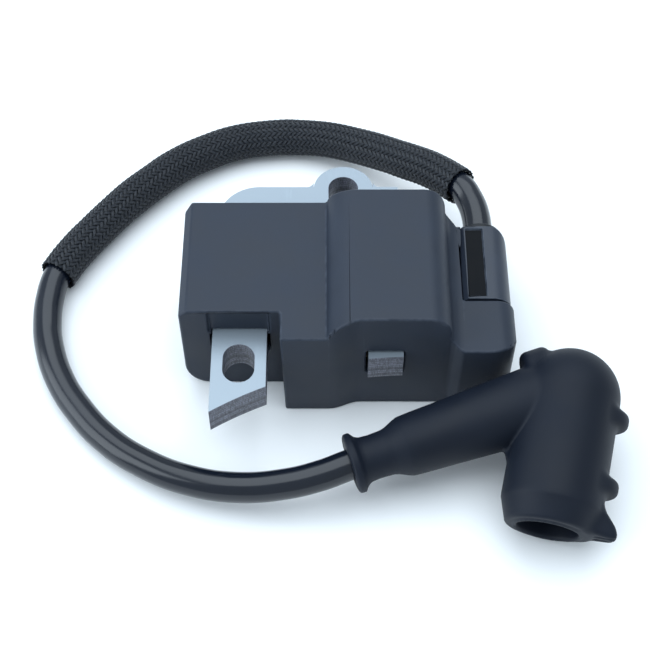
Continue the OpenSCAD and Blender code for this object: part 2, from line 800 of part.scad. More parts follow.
// A half-round finger fin: a disc standing across the barrel
module fin() {
    translate([fin_r - barrel_r - fin_h, 0, -fin_t / 2])
        cylinder(r = fin_r, h = fin_t);
}

module boot_solid() {
    along_arm() {
        cylinder(r = collar_r, h = collar_t);
        translate([0, 0, collar_t - e])
            cylinder(r1 = collar_r - 0.3, r2 = neck_r, h = 2.4);
        cylinder(r = neck_r, h = neck_l + 0.1);
        translate([0, 0, neck_l])
            cylinder(r1 = neck_r, r2 = step_r, h = step_l);
        translate([0, 0, neck_l + step_l - e])
            cylinder(r1 = step_r, r2 = arm_r, h = arm_l - neck_l - step_l);
        // fin on the arm's back
        translate([0, arm_fin_reach - fin_r, arm_l - arm_fin_at - arm_fin_t / 2])
            cylinder(r = fin_r, h = arm_fin_t);
    }
    translate(on_barrel(0))
        sphere(r = barrel_r);
    along_barrel() {
        cylinder(r = barrel_r, h = barrel_l - shoulder_l);
        translate([0, 0, barrel_l - shoulder_l - e])
            cylinder(r1 = barrel_r, r2 = mouth_r, h = shoulder_l + e);
        for (s = fin_at)
            translate([0, 0, s])
                fin();
        // pull tab at the mouth
        translate([0, 0, barrel_l - 2.6])
            linear_extrude(2.2)
                polygon([[-4, -3.4], [-4, 3.4], [-7.5, 2.6], [-tab_reach, 2.1],
                    [-tab_reach, -1.1], [-7.5, -2.6]]);
    }
}

module boot() {
    color([0.07, 0.08, 0.1])
        difference() {
            boot_solid();
            along_arm()
                translate([0, 0, -1])
                    cylinder(r = lead_r + free, h = arm_l + 1);
            along_barrel() {
                translate([0, 0, barrel_l - socket_depth])
                    cylinder(r = socket_r, h = socket_depth + 1);
                cylinder(r = pocket_r, h = barrel_l - socket_depth + 1);
            }
            translate(on_barrel(0))
                sphere(r = pocket_r);
        }
}

// Coil that snaps over the plug's terminal, with a spike into the lead's end
spring_pitch = 2 * spring_wire_r + 0.25;
spring_steps = 14;
spring_coil = [for (i = [0:spring_turns * spring_steps])
    let (a = 360 * i / spring_steps)
    [spring_r * cos(a), spring_r * sin(a), 1.5 + spring_pitch * i / spring_steps]];

module plug_spring() {
    color([0.75, 0.76, 0.78]) {
        along_barrel()
            rod(spring_coil, spring_wire_r, 8);
        along_arm()
            translate([0, 0, lead_in_boot - spike_l + 1.5])
                cylinder(r = spring_wire_r, h = spike_l + 2.6);
    }
}

// ---------- assembly ----------

housing();
tower_cap();
potting_resin();
for (i = [1:sheet_count])
    lamination(i);
pole_liner();
primary_bobbin();
primary_winding();
secondary_bobbin();
secondary_winding();
charge_bobbin();
charge_winding();
trigger_winding();
circuit_board();
storage_capacitor();
thyristor();
rectifier_diodes();
bias_resistors();
earth_tag();
ht_link();
ht_terminal();
lead_seal();
lead_insulation();
lead_conductor();
braided_sleeve();
boot();
plug_spring();
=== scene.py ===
"""Looks of a small two-stroke engine's ignition coil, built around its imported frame.

Metres, +Z up, origin in the middle of the housing's underside. Sizes in the classes are
millimetres, and MM turns them into metres.
"""

import json
import logging
import math
from collections.abc import Callable
from dataclasses import dataclass, field
from enum import Enum

import bmesh
import bpy
import numpy as np
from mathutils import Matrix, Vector


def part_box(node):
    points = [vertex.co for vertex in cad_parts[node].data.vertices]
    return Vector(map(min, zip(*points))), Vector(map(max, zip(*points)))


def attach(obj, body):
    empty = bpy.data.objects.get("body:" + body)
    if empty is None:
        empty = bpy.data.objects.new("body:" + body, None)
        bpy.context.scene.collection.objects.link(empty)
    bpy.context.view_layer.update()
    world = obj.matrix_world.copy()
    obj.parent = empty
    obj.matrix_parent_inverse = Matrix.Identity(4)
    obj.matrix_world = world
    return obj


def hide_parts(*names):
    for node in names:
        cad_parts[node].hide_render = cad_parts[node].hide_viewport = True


MM = 0.001
SHARP_EDGE = math.radians(32)  # edges that turn further than this get rounded
NARROW_STRIP = 0.84  # share of a rounding's strip width that still counts as narrow
PROFILE_SLOPE = 0.97  # keeps a turned profile's distances true on its cones
LOG = logging.getLogger("ignition_coil")
Colour = tuple[float, float, float]
Field = Callable[[np.ndarray], np.ndarray]

# Route of the lead in millimetres, from inside the tower to the boot's collar
LEAD_ROUTE = [
    (22.8, -2.6, 13), (22.8, 5, 13), (22.8, 13.2, 13), (22.6, 18, 13), (21.8, 21.3, 13),
    (20.3, 24.4, 13), (15.9, 29.6, 11.1), (10.2, 34.6, 8.6), (3.1, 39.8, 6), (-2.5, 42.8, 4.5),
    (-8, 44.2, 3.7), (-14, 44.2, 3.6), (-20.7, 43, 3.6), (-26.2, 40.6, 3.6), (-31.2, 37.5, 3.6),
    (-36.2, 33, 3.6), (-41, 27.8, 3.6), (-46.2, 20.8, 3.6), (-49.6, 15.6, 3.6),
    (-51.6, 11.6, 3.6), (-52.5, 7, 3.1), (-52.5, 2, 2.6), (-51.7, -2.6, 2.6), (-49.1, -9.6, 2.6),
    (-45.2, -15.7, 2.6), (-40, -21.4, 2.7), (-33.6, -26.1, 3.3), (-26, -29.8, 4.3),
    (-18, -31.7, 5.4), (-10, -31.8, 6.8), (-4.4, -30.8, 7.8), (0.2, -29.25, 8.5),
]
SLEEVE_FIRST = 5  # the sleeve covers the route from this point
SLEEVE_LAST = 19  # to this one

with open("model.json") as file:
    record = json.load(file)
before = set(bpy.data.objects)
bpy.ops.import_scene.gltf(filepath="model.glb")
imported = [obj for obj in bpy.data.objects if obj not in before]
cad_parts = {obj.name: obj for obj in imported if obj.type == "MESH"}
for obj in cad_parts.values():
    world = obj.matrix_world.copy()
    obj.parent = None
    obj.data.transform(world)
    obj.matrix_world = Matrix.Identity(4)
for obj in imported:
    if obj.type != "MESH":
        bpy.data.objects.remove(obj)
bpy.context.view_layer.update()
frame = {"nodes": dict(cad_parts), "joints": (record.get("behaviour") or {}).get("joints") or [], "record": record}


# ---------------------------------------------------------------- node trees


class Graph:
    """Adds nodes to one tree and links them."""

    def __init__(self, tree: bpy.types.NodeTree) -> None:
        """Keeps the tree.

        Args:
            tree: The tree that every node goes into.
        """
        self.tree = tree

    def add(self, kind: str, inputs: dict | None = None, **settings: object) -> bpy.types.Node:
        """Adds one node.

        Args:
            kind: The node's type name.
            inputs: A value or an output socket for each input, by name or number.
            settings: Attributes of the node, set before its inputs.

        Returns:
            The new node.
        """
        node = self.tree.nodes.new(kind)
        for name, value in settings.items():
            setattr(node, name, value)
        for key, value in (inputs or {}).items():
            if isinstance(value, bpy.types.NodeSocket):
                self.tree.links.new(value, node.inputs[key])
            else:
                node.inputs[key].default_value = value
        return node

    def math(self, operation: str, *terms: object) -> bpy.types.NodeSocket:
        """Adds a math node and returns its output.

        Args:
            operation: The math node's operation.
            terms: Numbers or sockets, in the order of its inputs.

        Returns:
            The value socket.
        """
        node = self.add("ShaderNodeMath", dict(enumerate(terms)), operation=operation)
        return node.outputs[0]

    def vector(self, operation: str, *terms: object) -> bpy.types.NodeSocket:
        """Adds a vector math node and returns its vector output.

        Args:
            operation: The vector math node's operation.
            terms: Vectors or sockets, in the order of its inputs.

        Returns:
            The vector socket.
        """
        node = self.add("ShaderNodeVectorMath", dict(enumerate(terms)), operation=operation)
        return node.outputs[0]

    def scaled(self, vector: object, amount: object) -> bpy.types.NodeSocket:
        """Returns a vector socket times a number."""
        node = self.add("ShaderNodeVectorMath", {0: vector, "Scale": amount}, operation="SCALE")
        return node.outputs[0]


def new_group(name: str, kind: str, ins: dict[str, tuple], outs: dict[str, str]) -> tuple:
    """Makes a node group with named sockets.

    Args:
        name: The group's name.
        kind: ShaderNodeTree or GeometryNodeTree.
        ins: For each input, its socket type and, where it has one, its default value.
        outs: For each output, its socket type.

    Returns:
        The tree, its graph, its input node and its output node.
    """
    tree = bpy.data.node_groups.new(name, kind)
    for label, (socket, *default) in ins.items():
        item = tree.interface.new_socket(label, in_out="INPUT", socket_type=socket)
        if default:
            item.default_value = default[0]
    for label, socket in outs.items():
        tree.interface.new_socket(label, in_out="OUTPUT", socket_type=socket)
    graph = Graph(tree)
    return tree, graph, graph.add("NodeGroupInput"), graph.add("NodeGroupOutput")


def grain_group() -> bpy.types.NodeTree:
    """Fine moulded grain: a bump height and a shade that varies slowly."""
    tree, g, start, end = new_group(
        "fine_grain", "ShaderNodeTree",
        {"Vector": ("NodeSocketVector",), "Scale": ("NodeSocketFloat", 2500.0)},
        {"Height": "NodeSocketFloat", "Shade": "NodeSocketFloat"})
    fine = g.add("ShaderNodeTexNoise", {"Vector": start.outputs[0], "Scale": start.outputs[1],
                                        "Detail": 3.0, "Roughness": 0.6})
    slow_scale = g.math("MULTIPLY", start.outputs[1], 0.035)
    slow = g.add("ShaderNodeTexNoise", {"Vector": start.outputs[0], "Scale": slow_scale,
                                        "Detail": 4.0, "Roughness": 0.55})
    tree.links.new(fine.outputs[0], end.inputs[0])
    tree.links.new(slow.outputs[0], end.inputs[1])
    return tree


def brushed_group() -> bpy.types.NodeTree:
    """Long fine scratches along one axis: a height and a shade."""
    tree, g, start, end = new_group(
        "brushed_lines", "ShaderNodeTree",
        {"Vector": ("NodeSocketVector",), "Stretch": ("NodeSocketVector", (6000.0, 300.0, 6000.0))},
        {"Height": "NodeSocketFloat", "Shade": "NodeSocketFloat"})
    long = g.vector("MULTIPLY", start.outputs[0], start.outputs[1])
    lines = g.add("ShaderNodeTexNoise", {"Vector": long, "Scale": 1.0, "Detail": 5.0, "Roughness": 0.7})
    patches = g.add("ShaderNodeTexNoise", {"Vector": start.outputs[0], "Scale": 260.0, "Detail": 3.0})
    tree.links.new(lines.outputs[0], end.inputs[0])
    tree.links.new(g.math("MULTIPLY", lines.outputs[0], patches.outputs[0]), end.inputs[1])
    return tree


def wear_and_highlight_group() -> bpy.types.NodeTree:
    """A broken mask along the rounded edges that the edge attribute marks: partly real wear, partly painted
    highlight.
    """
    tree, g, start, end = new_group(
        "edge_wear_and_highlight", "ShaderNodeTree",
        {"Vector": ("NodeSocketVector",), "Amount": ("NodeSocketFloat", 0.6)},
        {"Mask": "NodeSocketFloat"})
    edge = g.add("ShaderNodeAttribute", attribute_name="edge")
    noise = g.add("ShaderNodeTexNoise", {"Vector": start.outputs[0], "Scale": 700.0, "Detail": 4.0})
    broken = g.add("ShaderNodeMapRange", {"Value": noise.outputs[0], "From Min": 0.35, "From Max": 0.7})
    mask = g.math("MULTIPLY", g.math("MULTIPLY", edge.outputs["Fac"], broken.outputs[0]),
                  start.outputs[1])
    tree.links.new(mask, end.inputs[0])
    return tree


class ShaderGroups:
    """The node groups that several finishes share, each built once."""

    def __init__(self) -> None:
        """Builds the groups."""
        self.grain = grain_group()
        self.brushed = brushed_group()
        self.wear_and_highlight = wear_and_highlight_group()


# ---------------------------------------------------------------- finishes


class Texture(Enum):
    """The pattern that a finish carries."""

    MOULDED = "moulded"
    BRUSHED = "brushed"
    SHEARED = "sheared"
    WOUND = "wound"
    YARN = "yarn"


@dataclass(frozen=True)
class Finish:
    """One material: what it is made of and how its surface looks."""

    name: str
    colour: Colour
    roughness: float = 0.5
    metallic: float = 0.0
    texture: Texture = Texture.MOULDED
    variation: float = 0.25
    grain_scale: float = 2500.0
    bump: float = 0.15
    bump_depth: float = 0.00003
    coat: float = 0.0
    # The lighter edge colour below is partly real wear and partly painted highlight.
    wear_and_highlight: float = 0.0
    wear_and_highlight_colour: Colour = (0.3, 0.34, 0.4)
    specular: float = 0.5

    def material(self, groups: ShaderGroups) -> bpy.types.Material:
        """Builds the material.

        Args:
            groups: The shared shader groups.

        Returns:
            The new material.
        """
        mat = bpy.data.materials.new(self.name)
        mat.use_nodes = True
        mat.node_tree.nodes.clear()
        mat.diffuse_color = (*self.colour, 1.0)
        g = Graph(mat.node_tree)
        shader = g.add("ShaderNodeBsdfPrincipled")
        out = g.add("ShaderNodeOutputMaterial", {"Surface": shader.outputs[0]})
        out.is_active_output = True
        place = g.add("ShaderNodeTexCoord").outputs["Object"]
        height, shade = self.pattern(g, groups, place)
        colour = self.varied_colour(g, shade)
        # Lighter rounded edges: partly real wear, partly painted highlight.
        if self.wear_and_highlight > 0:
            worn_and_lit = g.add("ShaderNodeGroup", node_tree=groups.wear_and_highlight)
            mat.node_tree.links.new(place, worn_and_lit.inputs["Vector"])
            worn_and_lit.inputs["Amount"].default_value = self.wear_and_highlight
            colour = self.mixed(g, worn_and_lit.outputs[0], colour, (*self.wear_and_highlight_colour, 1.0))
        rough = g.add("ShaderNodeMapRange", {"Value": shade, "From Min": 0.25, "From Max": 0.75,
                                             "To Min": max(self.roughness - 0.08, 0.05),
                                             "To Max": min(self.roughness + 0.08, 1.0)})
        bump = g.add("ShaderNodeBump", {"Strength": self.bump, "Distance": self.bump_depth,
                                        "Height": height})
        links = mat.node_tree.links
        links.new(colour, shader.inputs["Base Color"])
        links.new(rough.outputs[0], shader.inputs["Roughness"])
        links.new(bump.outputs[0], shader.inputs["Normal"])
        shader.inputs["Metallic"].default_value = self.metallic
        shader.inputs["Coat Weight"].default_value = self.coat
        shader.inputs["Specular IOR Level"].default_value = self.specular
        return mat

    def varied_colour(self, g: Graph, shade: bpy.types.NodeSocket) -> bpy.types.NodeSocket:
        """Returns the colour, lighter and darker where the shade says."""
        dark = tuple(c * (1 - self.variation) for c in self.colour)
        light = tuple(min(c * (1 + self.variation), 1.0) for c in self.colour)
        step = g.add("ShaderNodeMapRange", {"Value": shade, "From Min": 0.3, "From Max": 0.7})
        return self.mixed(g, step.outputs[0], (*dark, 1.0), (*light, 1.0))

    @staticmethod
    def mixed(g: Graph, factor: object, first: object, second: object) -> bpy.types.NodeSocket:
        """Returns a colour between two colours."""
        mix = g.add("ShaderNodeMix", data_type="RGBA")
        for key, value in ((0, factor), (6, first), (7, second)):
            if isinstance(value, bpy.types.NodeSocket):
                g.tree.links.new(value, mix.inputs[key])
            else:
                mix.inputs[key].default_value = value
        return mix.outputs[2]

    def pattern(self, g: Graph, groups: ShaderGroups, place: bpy.types.NodeSocket) -> tuple:
        """Adds the texture's nodes.

        Args:
            g: The material's graph.
            groups: The shared shader groups.
            place: Object coordinates.

        Returns:
            The height and shade sockets.
        """
        if self.texture is Texture.MOULDED:
            node = g.add("ShaderNodeGroup", node_tree=groups.grain)
            node.inputs["Scale"].default_value = self.grain_scale
        elif self.texture is Texture.BRUSHED:
            node = g.add("ShaderNodeGroup", node_tree=groups.brushed)
        elif self.texture is Texture.SHEARED:
            node = g.add("ShaderNodeGroup", node_tree=groups.brushed)
            node.inputs["Stretch"].default_value = (5200.0, 5200.0, 500.0)
        elif self.texture is Texture.WOUND:
            wave = g.add("ShaderNodeTexWave", {"Vector": place, "Scale": 1600.0, "Distortion": 0.6,
                                               "Detail": 1.0}, bands_direction="Y")
            noise = g.add("ShaderNodeTexNoise", {"Vector": place, "Scale": 900.0})
            return wave.outputs["Fac"], noise.outputs[0]
        else:
            across = g.add("ShaderNodeAttribute", attribute_name="across").outputs["Fac"]
            threads = g.math("SINE", g.math("MULTIPLY", across, 26.0))
            noise = g.add("ShaderNodeTexNoise", {"Vector": place, "Scale": 2600.0, "Detail": 2.0})
            height = g.math("ADD", threads, noise.outputs[0])
            return height, g.math("MULTIPLY_ADD", threads, 0.25, noise.outputs[0])
        g.tree.links.new(place, node.inputs["Vector"])
        return node.outputs["Height"], node.outputs["Shade"]


@dataclass(frozen=True)
class SheetSteel(Finish):
    """Sheet steel: bright and brushed on the flat, dark and sheared at the edges.

    A thin shadow marks each joint between two sheets, and no two sheets' edges are alike.
    """

    edge_colour: Colour = (0.14, 0.145, 0.18)
    stack_foot: float = 0.0
    sheet_pitch: float = 0.0005
    joint_share: float = 0.3

    def material(self, groups: ShaderGroups) -> bpy.types.Material:
        """Builds the material, with a second look on faces that aren't flat.

        Args:
            groups: The shared shader groups.

        Returns:
            The new material.
        """
        mat = super().material(groups)
        g = Graph(mat.node_tree)
        links = mat.node_tree.links
        shader = next(n for n in mat.node_tree.nodes if n.type == "BSDF_PRINCIPLED")
        coords = next(n for n in mat.node_tree.nodes if n.type == "TEX_COORD")
        up = g.add("ShaderNodeSeparateXYZ", {0: coords.outputs["Normal"]}).outputs[2]
        side = g.math("LESS_THAN", g.math("ABSOLUTE", up), 0.5)
        burr = g.add("ShaderNodeGroup", node_tree=groups.brushed)
        burr.inputs["Stretch"].default_value = (4200.0, 4200.0, 900.0)
        links.new(coords.outputs["Object"], burr.inputs["Vector"])
        streak = g.add("ShaderNodeMapRange", {"Value": burr.outputs["Height"], "From Min": 0.4,
                                              "From Max": 0.6, "To Min": 0.55, "To Max": 1.35})
        lines = self.sheet_lines(g, coords.outputs["Object"])
        edge = g.scaled(self.edge_colour, g.math("MULTIPLY", streak.outputs[0], lines))
        flat = shader.inputs["Base Color"].links[0].from_socket
        links.new(self.mixed(g, side, flat, edge), shader.inputs["Base Color"])
        metal = g.math("SUBTRACT", self.metallic, g.math("MULTIPLY", side, 0.35))
        links.new(metal, shader.inputs["Metallic"])
        return mat

    def sheet_lines(self, g: Graph, place: bpy.types.NodeSocket) -> bpy.types.NodeSocket:
        """Adds the lines of the stacked sheets' edges.

        Args:
            g: The material's graph.
            place: Object coordinates.

        Returns:
            A brightness: low in each joint, and different from sheet to sheet.
        """
        height = g.add("ShaderNodeSeparateXYZ", {0: place}).outputs[2]
        layer = g.math("DIVIDE", g.math("SUBTRACT", height, self.stack_foot), self.sheet_pitch)
        joint = g.math("LESS_THAN", g.math("FRACT", g.math("ADD", layer, self.joint_share / 2)),
                       self.joint_share)
        own = g.add("ShaderNodeTexWhiteNoise", {"W": g.math("FLOOR", layer)}, noise_dimensions="1D")
        tone = g.math("MULTIPLY_ADD", own.outputs[0], 0.7, 0.75)
        return g.math("MULTIPLY", tone, g.math("MULTIPLY_ADD", joint, -0.72, 1.0))


class FinishBook:
    """Every finish of the object, made into materials once."""

    def __init__(self) -> None:
        """Builds the groups and the materials."""
        groups = ShaderGroups()
        foot, next_foot = (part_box(f"lamination_{i}")[0][2] for i in (1, 2))
        # The shell's lighter edge colour is partly wear and partly painted highlight.
        self.shell = Finish("moulded_shell", (0.018, 0.0245, 0.039), 0.5, variation=0.12, bump=0.35,
                            grain_scale=4200.0, bump_depth=0.00005, wear_and_highlight=0.3, specular=0.28,
                            wear_and_highlight_colour=(0.08, 0.095, 0.125)).material(groups)
        # The cap's light edge colour is mostly painted highlight along its edges and grooves, partly wear.
        self.cap = Finish("moulded_cap", (0.021, 0.028, 0.044), 0.42, variation=0.12, bump=0.25,
                          grain_scale=4200.0, wear_and_highlight=0.55, specular=0.4,
                          wear_and_highlight_colour=(0.15, 0.18, 0.23)).material(groups)
        # Near-black colour for the cap's sunk patch: painted shade.
        self.inset = Finish("cap_inset_painted_shade", (0.002, 0.003, 0.005), 0.6, variation=0.15, bump=0.15,
                            grain_scale=3000.0, specular=0.12).material(groups)
        self.resin = Finish("potting_resin", (0.02, 0.021, 0.024), 0.3, variation=0.2, bump=0.4,
                            grain_scale=500.0, bump_depth=0.0001, coat=0.3).material(groups)
        self.steel = SheetSteel("sheet_steel", (0.31, 0.365, 0.42), 0.5, 0.35, Texture.BRUSHED,
                                variation=0.1, bump=0.25, bump_depth=0.00001, stack_foot=foot,
                                sheet_pitch=next_foot - foot).material(groups)
        self.boot = Finish("boot_rubber", (0.0045, 0.0075, 0.015), 0.55, variation=0.12, bump=0.2,
                           grain_scale=3000.0, bump_depth=0.00003, specular=0.2).material(groups)
        self.jacket = Finish("lead_jacket", (0.004, 0.0065, 0.013), 0.2, variation=0.2, bump=0.08,
                             grain_scale=1200.0, bump_depth=0.00003, specular=0.45).material(groups)
        self.braid = Finish("braid_yarn", (0.012, 0.016, 0.024), 0.42, texture=Texture.YARN,
                            variation=0.45, bump=0.6, bump_depth=0.00004, specular=0.5).material(groups)
        self.seal = Finish("seal_rubber", (0.006, 0.008, 0.012), 0.45, variation=0.2, bump=0.3,
                           specular=0.35).material(groups)
        self.copper = Finish("copper_wire", (0.52, 0.2, 0.08), 0.32, 0.95, Texture.WOUND, bump=0.8,
                             bump_depth=0.00015).material(groups)
        self.brass = Finish("brass", (0.66, 0.5, 0.24), 0.3, 1.0, Texture.BRUSHED).material(groups)
        self.spring = Finish("spring_wire", (0.55, 0.56, 0.58), 0.28, 1.0, Texture.BRUSHED).material(groups)
        self.bobbin = Finish("bobbin_plastic", (0.58, 0.55, 0.46), 0.5, bump=0.3).material(groups)
        self.green_bobbin = Finish("chambered_bobbin", (0.03, 0.12, 0.06), 0.45, bump=0.3).material(groups)
        self.paper = Finish("liner_paper", (0.55, 0.46, 0.3), 0.8, bump=0.5,
                            grain_scale=1800.0).material(groups)
        self.board = Finish("board_laminate", (0.02, 0.13, 0.05), 0.35, texture=Texture.WOUND,
                            variation=0.2, coat=0.4).material(groups)
        self.film = Finish("capacitor_film", (0.5, 0.22, 0.03), 0.3, coat=0.4, bump=0.3).material(groups)
        self.case = Finish("component_case", (0.02, 0.02, 0.022), 0.5, bump=0.3).material(groups)


# ---------------------------------------------------------------- mesh helpers


def mesh_object(name: str, vertices: np.ndarray, faces: np.ndarray) -> bpy.types.Object:
    """Makes a smooth-shaded mesh object.

    Args:
        name: The piece's name.
        vertices: Places in metres, one row each.
        faces: Vertex numbers, one row each.

    Returns:
        The linked object.
    """
    mesh = bpy.data.meshes.new(name)
    mesh.from_pydata(vertices.tolist(), [], faces.tolist())
    mesh.validate()
    mesh.shade_smooth()
    obj = bpy.data.objects.new(name, mesh)
    bpy.context.scene.collection.objects.link(obj)
    return obj


def applied(obj: bpy.types.Object) -> bpy.types.Object:
    """Turns an object's evaluated shape into its plain mesh.

    Args:
        obj: A mesh or curve object with modifiers.

    Returns:
        A mesh object of the same name at the origin, in place of the given one.
    """
    bpy.context.view_layer.update()
    graph = bpy.context.evaluated_depsgraph_get()
    mesh = bpy.data.meshes.new_from_object(obj.evaluated_get(graph))
    name = obj.name
    bpy.data.objects.remove(obj)
    result = bpy.data.objects.new(name, mesh)
    mesh.name = name
    bpy.context.scene.collection.objects.link(result)
    return result


def clean_copy(node: str, name: str) -> bpy.types.Object:
    """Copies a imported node's mesh, with its vertices merged and its flats joined and split anew.

    Args:
        node: The node's name.
        name: The new piece's name.

    Returns:
        The linked copy.
    """
    mesh = bpy.data.objects[node].data.copy()
    mesh.name = name
    mesh.materials.clear()
    work = bmesh.new()
    work.from_mesh(mesh)
    bmesh.ops.remove_doubles(work, verts=work.verts, dist=0.002 * MM)
    bmesh.ops.dissolve_limit(work, angle_limit=math.radians(0.6), verts=work.verts, edges=work.edges)
    many_sided = [face for face in work.faces if len(face.verts) > 4]
    bmesh.ops.triangulate(work, faces=many_sided, quad_method="BEAUTY", ngon_method="BEAUTY")
    work.to_mesh(mesh)
    work.free()
    for attribute in [a.name for a in mesh.attributes if a.name in ("custom_normal", "UVMap")]:
        mesh.attributes.remove(mesh.attributes[attribute])
    obj = bpy.data.objects.new(name, mesh)
    bpy.context.scene.collection.objects.link(obj)
    return obj


def rounded(node: str, name: str, radius: float, steps: int = 4) -> bpy.types.Object:
    """Makes a copy of a node with its sharp edges rounded, and marks the rounded strips.

    Args:
        node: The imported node's name.
        name: The new piece's name.
        radius: The rounding in millimetres.
        steps: Strips across each rounded edge.

    Returns:
        The piece, with an edge attribute that is 1 along the rounded edges.
    """
    obj = clean_copy(node, name)
    obj.data.shade_smooth()
    bevel = obj.modifiers.new("rounding", "BEVEL")
    bevel.width = radius * MM
    bevel.segments = steps
    bevel.limit_method = "ANGLE"
    bevel.angle_limit = SHARP_EDGE
    bevel.use_clamp_overlap = False
    bevel.loop_slide = False
    bevel.miter_outer = "MITER_ARC"
    weight = obj.modifiers.new("flat_normals", "WEIGHTED_NORMAL")
    weight.keep_sharp = True
    obj = applied(obj)
    mark_edges(obj.data, NARROW_STRIP * radius / steps * MM)
    return obj


def mark_edges(mesh: bpy.types.Mesh, narrow: float) -> None:
    """Stores 1 on the vertices that lie only on narrow strips, and 0 on the others.

    Args:
        mesh: The mesh to mark.
        narrow: The largest ratio of a strip's area to its outline, in metres.
    """
    on_wide = np.zeros(len(mesh.vertices), bool)
    points = [v.co for v in mesh.vertices]
    for face in mesh.polygons:
        loop = list(face.vertices)
        outline = sum((points[a] - points[b]).length for a, b in zip(loop, loop[1:] + loop[:1]))
        if face.area > narrow * outline:
            on_wide[loop] = True
    edge = mesh.attributes.new("edge", "FLOAT", "POINT")
    edge.data.foreach_set("value", (~on_wide).astype(np.float32))


def surface_net(shape: Field, low: np.ndarray, high: np.ndarray, step: float) -> tuple:
    """Meshes the surface where a distance field is zero.

    Args:
        shape: Distance at each point, negative inside, in millimetres.
        low: The lowest corner of the space to search.
        high: The highest corner.
        step: The grid's spacing.

    Returns:
        The vertices and the four-sided faces.
    """
    axes = [np.arange(a, b + step, step) for a, b in zip(low, high)]
    value = shape(np.stack(np.meshgrid(*axes, indexing="ij"), -1))
    cells = np.array(value.shape) - 1
    total = np.zeros((*cells, 3))
    count = np.zeros(cells)
    crossings = []
    for axis in range(3):
        ahead = [slice(None)] * 3
        behind = [slice(None)] * 3
        ahead[axis] = slice(1, None)
        behind[axis] = slice(None, -1)
        a, b = value[tuple(behind)], value[tuple(ahead)]
        cross = (a < 0) != (b < 0)
        crossings.append((cross, a < 0))
        share = np.where(cross, a / np.where(cross, a - b, 1.0), 0.0)
        others = [k for k in range(3) if k != axis]
        for i in (0, 1):
            for j in (0, 1):
                pick = [slice(None)] * 3
                pick[others[0]] = slice(i, i + cells[others[0]])
                pick[others[1]] = slice(j, j + cells[others[1]])
                hit = cross[tuple(pick)]
                count += hit
                total[..., axis] += np.where(hit, share[tuple(pick)], 0)
                total[..., others[0]] += np.where(hit, i, 0)
                total[..., others[1]] += np.where(hit, j, 0)
    used = count > 0
    number = np.full(used.shape, -1)
    number[used] = np.arange(used.sum())
    place = np.argwhere(used) + total[used] / count[used][:, None]
    vertices = np.array(low) + place * step
    faces = []
    for axis, (cross, starts_inside) in enumerate(crossings):
        u, v = (axis + 1) % 3, (axis + 2) % 3
        at = np.argwhere(cross)
        keep = (at[:, u] > 0) & (at[:, v] > 0) & (at[:, u] < cells[u]) & (at[:, v] < cells[v])
        at = at[keep]
        flip = ~starts_inside[tuple(at.T)]
        du, dv = np.eye(3, dtype=int)[u], np.eye(3, dtype=int)[v]
        ring = [number[tuple((at - o).T)] for o in (du + dv, dv, 0 * du, du)]
        quad = np.stack(ring, -1)
        quad[flip] = quad[flip][:, ::-1]
        faces.append(quad)
    for _ in range(3):
        vertices = drawn_to(shape, vertices, 0.02)
    return vertices, np.concatenate(faces)


def drawn_to(shape: Field, points: np.ndarray, reach: float) -> np.ndarray:
    """Moves points along the field's slope onto its surface, by up to 0.15 mm."""
    slope = np.stack([shape(points + d) - shape(points - d) for d in np.eye(3) * reach], -1) / (2 * reach)
    size = np.maximum((slope ** 2).sum(-1), 0.2)
    move = np.clip(shape(points) / size, -0.15, 0.15)
    return points - slope * move[:, None]


def smooth_min(a: np.ndarray, b: np.ndarray, blend: float) -> np.ndarray:
    """Returns the union of two distance fields, with a fillet of about the given size."""
    h = np.maximum(blend - np.abs(a - b), 0) / blend
    return np.minimum(a, b) - h * h * blend / 4


def smooth_max(a: np.ndarray, b: np.ndarray, blend: float) -> np.ndarray:
    """Returns the common space of two distance fields, with its edge rounded."""
    return -smooth_min(-a, -b, blend)


# ---------------------------------------------------------------- sub-assemblies


